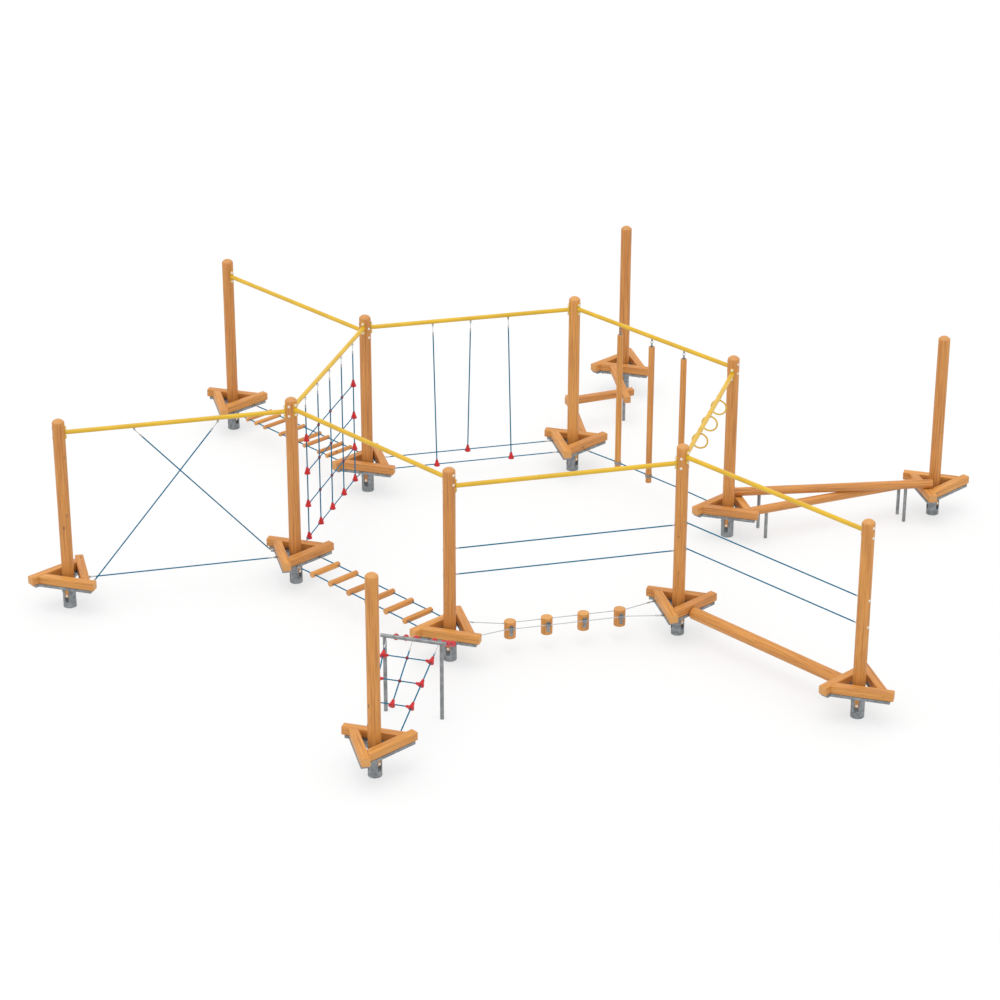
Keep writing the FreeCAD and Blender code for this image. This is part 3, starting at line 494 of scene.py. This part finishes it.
def plainRod(start, end, radius, arris=timberShape["arris"], columns=timberShape["columns"]):
    length = np.linalg.norm(end - start)
    return turnedTimber(start, end, rodRows(length, radius, arris), columns)


postShape = {"domeRadius": 0.0947, "domeRows": 8, "columns": 48}


# Rod outline whose upper end is a shallow sphere: radius = dome * sin(t), height from
# dome * cos(t).
def postOutline(length, radius):
    rows = rodRows(length, radius, timberShape["arris"])
    dome = postShape["domeRadius"]
    rim = math.asin(radius / dome)
    t = np.linspace(rim, rim / postShape["domeRows"], postShape["domeRows"])
    crown = np.stack([length - dome + dome * np.cos(t), dome * np.sin(t), np.ones(len(t))], 1)
    crown[0, 2] = 0.0
    shaft = rows[rows[:, 0] < crown[0, 0] - 0.01]
    return np.concatenate([shaft, crown])


for number in range(1, 13):
    node = "post_%02d" % number
    low, high = boxOf(node)
    foot, top = postFoot(number) + low[2] * up, postFoot(number) + high[2] * up
    outline = postOutline(high[2] - low[2], (high[0] - low[0]) / 2)
    crownLeft = high[2] - low[2] - outline[-1, 0]
    part = turnedTimber(foot, top, outline, postShape["columns"], dome=crownLeft)
    makePiece("turned_" + node, [part], timber, stands=[node])
print("posts made")


# squared timber
# Outline of a rounded rectangle, right-handed from the middle of its right side: four quarter
# circles joined by straight sides.
def roundedSection(width, depth, arris, perCorner=5):
    turn = np.linspace(0, math.pi / 2, perCorner)
    points = []
    for corner in range(4):
        a = turn + corner * math.pi / 2
        middle = (width / 2 - arris) * (1, -1, -1, 1)[corner], (depth / 2 - arris) * (1, 1, -1, -1)[corner]
        points.append(np.stack([middle[0] + arris * np.cos(a), middle[1] + arris * np.sin(a)], 1))
    return np.concatenate(points)


# Rounded section carried in a straight line. Both ends draw in along a quarter circle. Skew
# turns an end's face: it moves by skew times the distance to the left.
def squaredTimber(start, end, width, depth, arris, startSkew=0.0, endSkew=0.0):
    way = unit(end - start)
    left = unit(np.cross(up, way))
    length = np.linalg.norm(end - start)
    section = roundedSection(width, depth, arris)
    edge = arris / 2
    turn = np.linspace(0, math.pi / 2, 4)
    inset = edge * (1 - np.sin(turn))
    count = max(2, int(length / timberShape["rowStep"]))
    middle = np.linspace(edge, length - edge, count + 2)[1:-1]
    distance = np.concatenate([edge * (1 - np.cos(turn)), middle, length - edge * (1 - np.cos(turn[::-1]))])
    insets = np.concatenate([inset, np.zeros(count), inset[::-1]])
    share = np.concatenate([np.cos(turn) ** 2, np.zeros(count), np.cos(turn[::-1]) ** 2])
    shrink = np.stack([1 - 2 * insets / width, 1 - 2 * insets / depth], 1)
    flat = section[None] * shrink[:, None]
    blendSkew = np.interp(distance, [0, length], [startSkew, endSkew])
    s = distance[:, None] + blendSkew[:, None] * flat[..., 0]
    rings = start + s[..., None] * way + flat[..., :1] * left + flat[..., 1:] * up
    steps = np.linalg.norm(np.roll(section, -1, 0) - section, axis=1)
    around = np.concatenate([[0], np.cumsum(steps)]) + draw.random()
    pith = np.linalg.norm(section, axis=1).max()
    return skin(rings, distance + draw.random() * timberShape["uvShift"], around,
                start, start + way * length, share, np.full(len(distance), pith))


deckShape = {"inner": 0.138, "width": 0.112, "head": 0.460, "depth": 0.110, "top": 0.500, "arris": 0.012}


# Three beams round a post, each turned a third of a circle from the last. The head runs past
# the next beam; the tail is cut to lie flat against the beam before it.
def deckBeams(number):
    shape = deckShape
    ringTwo = number > 6
    bearing = math.radians((60 * (number - 1) + (60 if ringTwo else 0)) % 120)
    middle = shape["inner"] + shape["width"] / 2
    tailSkew = 1 / math.sqrt(3)  # the face of the beam before stands 60 degrees to this one
    tail = -(shape["inner"] + middle / 2) / math.cos(math.radians(30))
    parts = []
    for third in range(3):
        turn = bearing + third * 2 * math.pi / 3
        out = np.array([math.cos(turn), math.sin(turn), 0])
        way = np.array([-math.sin(turn), math.cos(turn), 0])
        height = (shape["top"] - shape["depth"] / 2) * up
        base = postFoot(number) + out * middle + height
        parts.append(squaredTimber(base + way * tail, base + way * shape["head"], shape["width"],
                                   shape["depth"], shape["arris"], startSkew=tailSkew))
    return parts


for ring, numbers in (("inner", range(1, 7)), ("outer", range(7, 13))):
    parts = [beam for number in numbers for beam in deckBeams(number)]
    makePiece("deck_beams_" + ring, parts, timber, stands=["platforms_" + ring])
print("platforms made")

logShape = {"height": 0.385, "radius": 0.080, "face": 0.262, "crossRadius": 0.060, "arris": 0.008,
            "columns": 44,
            # the two ends of each crossed log: along the span, to its left, and the height
            "lower": ((0.244, -0.241, 0.440), (2.756, 0.121, 0.440)),
            "upper": ((0.140, 0.170, 0.560), (2.880, -0.210, 0.560))}
span = spanOf(6, 12)
makePiece("log_between_decks",
          [plainRod(at(span, logShape["face"], 0, logShape["height"]),
                    at(span, span["length"] - logShape["face"], 0, logShape["height"]),
                    logShape["radius"], logShape["arris"], logShape["columns"])],
          timber, stands=["log_06_12"])
span = spanOf(1, 7)
makePiece("crossing_logs",
          [plainRod(at(span, *logShape[which][0]), at(span, *logShape[which][1]), logShape["crossRadius"],
                    logShape["arris"]) for which in ("lower", "upper")],
          timber, stands=["crossed_logs"])

balanceShape = {"wide": 0.100, "top": 0.500, "arris": 0.010, "lap": 0.0006,
                # the two ends of each beam: along the span and to its left
                "lines": (((0.246, -0.084), (1.480, 0.460)), ((1.327, 0.459), (1.983, -0.397)),
                          ((1.640, -0.400), (2.754, 0.102)))}
span = spanOf(2, 8)
parts = []
for place, (start, end) in enumerate(balanceShape["lines"]):
    # the middle beam lies a hair over the other two, where they are half-lapped
    height = balanceShape["top"] - balanceShape["wide"] / 2 - (0 if place == 1 else balanceShape["lap"])
    parts.append(squaredTimber(at(span, *start, height), at(span, *end, height), balanceShape["wide"],
                               balanceShape["wide"], balanceShape["arris"]))
makePiece("zigzag_balance_beams", parts, timber, stands=["balance_beams"])
print("logs and balance beams made")

# rungs, poles and stumps
ladders = {
    "near": {"span": (4, 5), "radius": 0.040, "rungs": (0.60, 0.96, 1.32, 1.68, 2.04, 2.40)},
    "far": {"span": (9, 3), "radius": 0.030,
            "rungs": (0.61, 0.80, 1.00, 1.35, 1.71, 1.89, 2.20, 2.38)},
}
rungShape = {"half": 0.235, "height": 0.390, "arris": 0.005, "columns": 32,
             "over": 0.060}  # rope past the first and the last rung
for which, ladder in ladders.items():
    span = spanOf(*ladder["span"])
    parts = [plainRod(at(span, s, -rungShape["half"], rungShape["height"]),
                      at(span, s, rungShape["half"], rungShape["height"]),
                      ladder["radius"], rungShape["arris"], rungShape["columns"])
             for s in ladder["rungs"]]
    makePiece("rungs_" + which, parts, timber, "ladder_" + which, ["ladder_%s_rungs" % which])

poleShape = {"arris": 0.008}
for number in (1, 2, 3):
    low, high = boxOf("pole_%d" % number)
    middle = middleOf("pole_%d" % number) * (1, 1, 0)
    makePiece("hanging_pole_%d" % number,
              [plainRod(middle + low[2] * up, middle + high[2] * up, (high[0] - low[0]) / 2,
                        poleShape["arris"])],
              timber, "pole_row", ["pole_%d" % number])

stumpShape = {"alongs": (0.780, 1.260, 1.740, 2.220), "radius": 0.075, "foot": 0.215, "top": 0.445,
              "arris": 0.007, "columns": 44}
span = spanOf(5, 6)
makePiece("swinging_stumps",
          [plainRod(at(span, s, 0, stumpShape["foot"]), at(span, s, 0, stumpShape["top"]),
                    stumpShape["radius"], stumpShape["arris"], stumpShape["columns"])
           for s in stumpShape["alongs"]],
          timber, "stump_row", ["stumps"])
print("rungs, poles and stumps made")

# ropes
ropeShape = {"dia": 0.018, "strands": 6, "perStrand": 3, "lay": 0.110, "step": 0.009,
             "section": (0.86, 0.985, 0.985)}
thinShape = dict(ropeShape, dia=0.016)  # level ropes, where they cross the hanging ones
cableShape = {"dia": 0.012, "strands": 6, "perStrand": 3, "lay": 0.080, "step": 0.008,
              "section": (0.84, 0.985, 0.985)}


# Twisted section carried in a straight line: the section is a circle drawn in at each groove,
# and it turns once in every lay length, so the grooves run as helices.
def laidRope(start, end, shape=ropeShape):
    way = unit(end - start)
    first, second = crossAxes(way)
    length = np.linalg.norm(end - start)
    rows = max(3, int(length / shape["step"]) + 1)
    distance = np.linspace(0, length, rows)
    columns = shape["strands"] * shape["perStrand"]
    angle = np.arange(columns) * 2 * math.pi / columns
    radius = shape["dia"] / 2 * np.tile(shape["section"], shape["strands"])
    turned = angle[None] + 2 * math.pi * distance[:, None] / shape["lay"]
    rings = (start + distance[:, None, None] * way + (radius * np.cos(turned))[..., None] * first
             + (radius * np.sin(turned))[..., None] * second)
    around = np.arange(columns + 1) / shape["perStrand"]
    return skin(rings, distance, around, start, end)


def barToDeck(span, bar, along, foot):
    eye = barEye(span, bar, along)
    return laidRope(*shorten(eye, foot, ends["bareAtBar"], ends["bareAtDeck"]))


def makeRope(name, parts, material=None, body="root", stands=()):
    return makePiece(name, parts, material or blueRope, body, stands, sharp=80)


# crossed ropes 10-4
crossed = {"span": (10, 4), "bar": "bar_10_04", "fromPost": 0.960}
span = spanOf(*crossed["span"])
parts = [barToDeck(span, crossed["bar"], crossed["fromPost"], deckEye(span, ends["eyeSide"], True)),
         barToDeck(span, crossed["bar"], span["length"] - crossed["fromPost"],
                   deckEye(span, -ends["eyeSide"], False)),
         laidRope(*shorten(deckEye(span, 0, False), deckEye(span, 0, True), ends["bareAtDeck"],
                           ends["bareAtDeck"]))]
makeRope("crossed_ropes", parts, stands=["fixed_ropes"])

# hanging ropes 3-2
hanging = {"span": (3, 2), "bar": "bar_03_02", "feet": ((0.960, -1), (1.500, 1), (2.040, -1))}
span = spanOf(*hanging["span"])
parts = [laidRope(*shorten(deckEye(span, side, False), deckEye(span, side, True), ends["bareAtDeck"],
                           ends["bareAtDeck"]), thinShape) for side in (-ends["eyeSide"], ends["eyeSide"])]
feet = [at(span, s, way * ends["eyeSide"], ends["eyeHeight"]) for s, way in hanging["feet"]]
parts += [laidRope(*shorten(barEye(span, hanging["bar"], s), foot, ends["bareAtBar"]))
          for (s, way), foot in zip(hanging["feet"], feet)]
makeRope("hanging_ropes", parts, stands=["fixed_ropes"])
hangingFeet = feet
hangingWays = [unit(barEye(span, hanging["bar"], s) - foot) for (s, way), foot in zip(hanging["feet"], feet)]

# handrails 5-6 and 6-12
rails = {"lines": ((5, 6, (1.545, 1.185)), (6, 12, (1.605, 1.245))), "ferrule": 0.040, "postRadius": 0.080}
parts = []
for start, end, heights in rails["lines"]:
    span = spanOf(start, end)
    inset = rails["postRadius"] + rails["ferrule"]
    parts += [laidRope(at(span, inset, 0, z), at(span, span["length"] - inset, 0, z)) for z in heights]
makeRope("handrail_ropes", parts, stands=["fixed_ropes"])

# climbing net 4-3
net = {"span": (4, 3), "bar": "bar_04_03", "columns": [0.540 + 0.480 * k for k in range(5)],
       "rows": [1.840 - 0.477 * k for k in range(4)]}
span = spanOf(*net["span"])
parts = [laidRope(*shorten(barEye(span, net["bar"], s), at(span, s, 0, net["rows"][-1]), ends["bareAtBar"]))
         for s in net["columns"]]
parts += [laidRope(at(span, net["columns"][0], 0, z), at(span, net["columns"][-1], 0, z), thinShape)
          for z in net["rows"]]
parts += [laidRope(*shorten(deckEye(span, 0, far), at(span, s, 0, net["rows"][-1]), ends["bareAtDeck"]),
                   thinShape)
          for far, s in ((False, net["columns"][0]), (True, net["columns"][-1]))]
makeRope("climbing_net", parts, stands=["climbing_net_ropes"])
print("standing ropes made")

# ladder ropes: a stretch that moves with the rungs, and two stretches that run to the decks
for which, ladder in ladders.items():
    span = spanOf(*ladder["span"])
    body = "ladder_" + which
    first, last = ladder["rungs"][0] - rungShape["over"], ladder["rungs"][-1] + rungShape["over"]
    sides = (-ends["eyeSide"], ends["eyeSide"])
    height = rungShape["height"]
    makeRope("ladder_rope_" + which,
             [laidRope(at(span, first, y, height), at(span, last, y, height)) for y in sides],
             body=body, stands=[body + "_ropes"])
    for far, stop, word in ((False, first, "start"), (True, last, "end")):
        parts = [laidRope(*shorten(deckEye(span, y, far), at(span, stop, y, height), ends["bareAtDeck"]))
                 for y in sides]
        tail = makeRope("ladder_tail_%s_%s" % (which, word), parts, body=None, stands=["rope_tails"])
        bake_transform(tail)

# the rope that ties the hanging poles
poleRow = {"span": (2, 1), "alongs": (0.900, 1.500, 2.100), "height": 0.400, "ear": 0.0835}
span = spanOf(*poleRow["span"])
height, ear = poleRow["height"], poleRow["ear"]
parts = [laidRope(at(span, a + ear, 0, height), at(span, b - ear, 0, height))
         for a, b in zip(poleRow["alongs"], poleRow["alongs"][1:])]
makeRope("pole_tie_rope", parts, body="pole_row", stands=["pole_rope"])
for far, stop, word in ((False, poleRow["alongs"][0] - ear, "start"),
                        (True, poleRow["alongs"][-1] + ear, "end")):
    eye, clamp = deckEye(span, 0, far), at(span, stop, 0, height)
    tail = makeRope("pole_tail_" + word, [laidRope(*shorten(eye, clamp, ends["bareAtDeck"]))], body=None,
                    stands=["rope_tails"])
    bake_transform(tail)

# the stumps' steel cables
stumpCable = {"span": (5, 6), "side": 0.0895, "height": 0.370, "run": 0.080}
span = spanOf(*stumpCable["span"])
first = stumpShape["alongs"][0] - stumpCable["run"]
last = stumpShape["alongs"][-1] + stumpCable["run"]
side, height = stumpCable["side"], stumpCable["height"]
makeRope("stump_cable", [laidRope(at(span, first, y, height), at(span, last, y, height), cableShape)
                         for y in (-side, side)], steelRope, "stump_row", ["stump_cables"])
for far, stop, word in ((False, first, "start"), (True, last, "end")):
    parts = [laidRope(*shorten(deckEye(span, way * ends["eyeSide"], far), at(span, stop, way * side, height),
                               ends["bareAtDeck"]), cableShape) for way in (-1, 1)]
    tail = makeRope("stump_cable_" + word, parts, steelRope, None, ["stump_cable_ends"])
    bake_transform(tail)

# low net 5-11, on both sides of its steel frame
lowNet = {"span": (5, 11), "middle": 1.500, "tube": 0.048, "top": 1.036, "headSide": 0.330,
          "bare": 0.174,  # from the tube's axis to where the rope leaves its ferrule
          "first": 0.216, "step": 0.296}
span = spanOf(*lowNet["span"])
parts = []
lowJoints, lowKnots = [], []
for way, far in ((-1, False), (1, True)):
    heads = [at(span, lowNet["middle"], y, lowNet["top"]) for y in (-lowNet["headSide"], lowNet["headSide"])]
    feet = [deckEye(span, y, far) for y in (-ends["eyeSide"], ends["eyeSide"])]
    parts += [laidRope(*shorten(h, f, lowNet["bare"], ends["bareAtDeck"])) for h, f in zip(heads, feet)]
    run = span["length"] / 2 - ends["eyeReach"]
    slope = unit((feet[0] + feet[1]) - (heads[0] + heads[1]))
    for row in range(3):
        share = (lowNet["tube"] / 2 + lowNet["first"] + row * lowNet["step"]) / run
        levelEnds = [h + (f - h) * share for h, f in zip(heads, feet)]
        centre = (levelEnds[0] + levelEnds[1]) / 2
        parts.append(laidRope(*levelEnds, thinShape))
        lowJoints += [(point, unit(h - f), centre) for point, h, f in zip(levelEnds, heads, feet)]
        if row == 2:
            parts.append(laidRope(*shorten((heads[0] + heads[1]) / 2, centre, lowNet["bare"])))
            lowJoints.append((centre, -slope, None))
        else:
            lowKnots.append((centre, unit(np.cross(levelEnds[1] - levelEnds[0], slope))))
makeRope("low_net", parts, stands=["low_net_ropes"])
print("moving ropes and low net made")

# moulded joints where ropes meet
jointShape = {"columns": 32, "radius": 0.042, "long": 0.095, "behind": 0.3,
              "bell": ((0.0, 0.90), (0.01, 0.96), (0.04, 1.0), (0.09, 0.985), (0.30, 0.82), (0.55, 0.62),
                       (0.78, 0.44), (0.80, 0.47), (0.96, 0.41), (1.0, 0.34)),
              "sleeve": ((0.0, 0.38), (0.024, 0.46), (0.050, 0.40), (0.052, 0.43), (0.066, 0.40),
                         (0.069, 0.30)),
              "knotRadius": 0.021, "knotHalf": 0.017, "rivet": 0.007, "rivetProud": 0.002}


# Surface of revolution of (distance, radius) points about a line.
def lathed(start, way, outline):
    first, second = crossAxes(way)
    columns = jointShape["columns"]
    angle = np.linspace(0, 2 * math.pi, columns + 1)
    distance, radius = np.array(outline, float).T
    a = angle[None, :-1]
    rings = (start + distance[:, None, None] * way + (radius[:, None] * np.cos(a))[..., None] * first
             + (radius[:, None] * np.sin(a))[..., None] * second)
    return skin(rings, distance, angle * radius.max(), start + way * distance[0], start + way * distance[-1])


# Cone whose wide mouth faces away from way, with a collar at its narrow end: radius falls in a
# straight line with the distance.
def bell(centre, way):
    long, radius = jointShape["long"], jointShape["radius"]
    outline = [((d - jointShape["behind"]) * long, r * radius) for d, r in jointShape["bell"]]
    return lathed(centre, way, outline)


# Short tapered arm that grips a rope leaving the joint sideways.
def sleeve(centre, way):
    return lathed(centre, way, [(d, r * jointShape["radius"]) for d, r in jointShape["sleeve"]])


# Two-part round clamp over a crossing, its edge a quarter circle, with a rivet head.
def disc(centre, way):
    radius, half = jointShape["knotRadius"], jointShape["knotHalf"]
    turn = np.linspace(-math.pi / 2, math.pi / 2, 9)
    edge = [(half * math.sin(t), radius * (0.55 + 0.45 * math.cos(t))) for t in turn]
    rivet, proud = jointShape["rivet"], jointShape["rivetProud"]
    pin = [(-half - proud, rivet * 0.7), (-half - proud / 2, rivet),
           (half + proud / 2, rivet), (half + proud, rivet * 0.7)]
    return [lathed(centre, way, edge), lathed(centre, way, pin)]


span = spanOf(*net["span"])
parts, knots = [], []
for column, s in enumerate(net["columns"]):
    for row, z in enumerate(net["rows"]):
        point = at(span, s, 0, z)
        edge = column in (0, len(net["columns"]) - 1)
        lowest = row == len(net["rows"]) - 1
        if edge or lowest:
            parts.append(bell(point, up))
            ways = [way for way, here in ((span["along"], column < len(net["columns"]) - 1),
                                          (-span["along"], column > 0)) if here]
            parts += [sleeve(point, way) for way in ways]
        else:
            knots += disc(point, span["left"])
for foot, way in zip(hangingFeet, hangingWays):
    parts.append(bell(foot, way))
for point, way, centre in lowJoints:
    parts.append(bell(point, way))
    if centre is not None:
        parts.append(sleeve(point, unit(centre - point)))
for centre, way in lowKnots:
    knots += disc(centre, way)
makePiece("moulded_rope_joints", parts, redMoulding, stands=["rope_joints"])
makePiece("crossing_clamps", knots, redKnot, stands=["rope_joints"])
print("rope joints made:", len(parts), "red and", len(knots), "dark")

# stage, light and camera
stageLook = {"floor": "#a2a2a2", "glow": 0.57, "radius": 150.0, "sky": 0.96, "below": 0.82,
             "horizon": 0.2, "sunStrength": 0.9, "sunWay": (0.15, 0.15, -1.0), "sunSize": 50.0}


# Matt acrylic of a light table, lit a little from below. Gives a plain pale ground with only
# faint contact shadows.
def lightTable():
    material, tree = newMaterial("studioFloor")
    place = add(tree, "TexCoord").outputs["Object"]
    fine = add(tree, "TexNoise", {"Vector": place, "Scale": 40.0}).outputs["Fac"]
    bump = bumpFrom(tree, fine, 0.02, 0.001)
    finishMaterial(tree, linear(stageLook["floor"]), 0.9, bump, Specular_IOR_Level=0.1,
                   Emission_Color=linear("#ffffff"), Emission_Strength=stageLook["glow"])
    return material


floorSides = 64
angle = np.arange(floorSides) * 2 * math.pi / floorSides
floorMesh = bpy.data.meshes.new("floor")
rim = np.stack([np.cos(angle), np.sin(angle), np.zeros(floorSides)], 1) * stageLook["radius"]
floorMesh.from_pydata(rim.tolist(), [], [list(range(floorSides))])
floorMesh.materials.append(lightTable())
floor = bpy.data.objects.new("floor", floorMesh)
bpy.context.scene.collection.objects.link(floor)
floor.visible_diffuse = False  # the floor gives no bounce light, so upright faces stay darker than tops

world = bpy.data.worlds.new("studio")
world.use_nodes = True
background = world.node_tree.nodes["Background"]
background.inputs["Color"].default_value = linear("#ffffff")
# the studio is brighter above the horizon than below it
facing = add(world.node_tree, "TexCoord").outputs["Generated"]
rise = add(world.node_tree, "SeparateXYZ", {"Vector": facing}).outputs["Z"]
strength = add(world.node_tree, "MapRange", {"Value": rise, "From Min": -stageLook["horizon"],
                                             "From Max": stageLook["horizon"],
                                             "To Min": stageLook["below"], "To Max": stageLook["sky"]})
world.node_tree.links.new(strength.outputs[0], background.inputs["Strength"])
bpy.context.scene.world = world

sunData = bpy.data.lights.new("softKey", "SUN")
sunData.energy = stageLook["sunStrength"]
sunData.angle = math.radians(stageLook["sunSize"])
sun = bpy.data.objects.new("softKey", sunData)
sun.rotation_euler = Vector(stageLook["sunWay"]).to_track_quat("-Z", "Y").to_euler()
bpy.context.scene.collection.objects.link(sun)

cameraPlace = {"place": (-8.818, -34.887, 17.823), "bearing": 76.144, "down": 25.239, "roll": 0.13}
cameraLens = {"lens": 106.9, "sensor": 36.0, "farthest": 500.0}


# Camera matrix from where it stands, its bearing from +X, how far it looks down and its roll.
def lookMatrix(place, bearing, down, roll):
    b, d, r = (math.radians(value) for value in (bearing, down, roll))
    ahead = Vector((math.cos(b) * math.cos(d), math.sin(b) * math.cos(d), -math.sin(d)))
    right = Vector((math.sin(b), -math.cos(b), 0))
    above = right.cross(ahead)
    turnedRight = right * math.cos(r) + above * math.sin(r)
    turnedUp = above * math.cos(r) - right * math.sin(r)
    matrix = Matrix((turnedRight, turnedUp, -ahead)).transposed().to_4x4()
    matrix.translation = place
    return matrix


cameraData = bpy.data.cameras.new("view")
cameraData.lens = cameraLens["lens"]
cameraData.sensor_width = cameraLens["sensor"]
cameraData.clip_end = cameraLens["farthest"]
camera = bpy.data.objects.new("view", cameraData)
camera.matrix_world = lookMatrix(**cameraPlace)
bpy.context.scene.collection.objects.link(camera)
bpy.context.scene.camera = camera
bpy.context.scene.view_settings.view_transform = "Standard"
print("stage, light and camera ready")
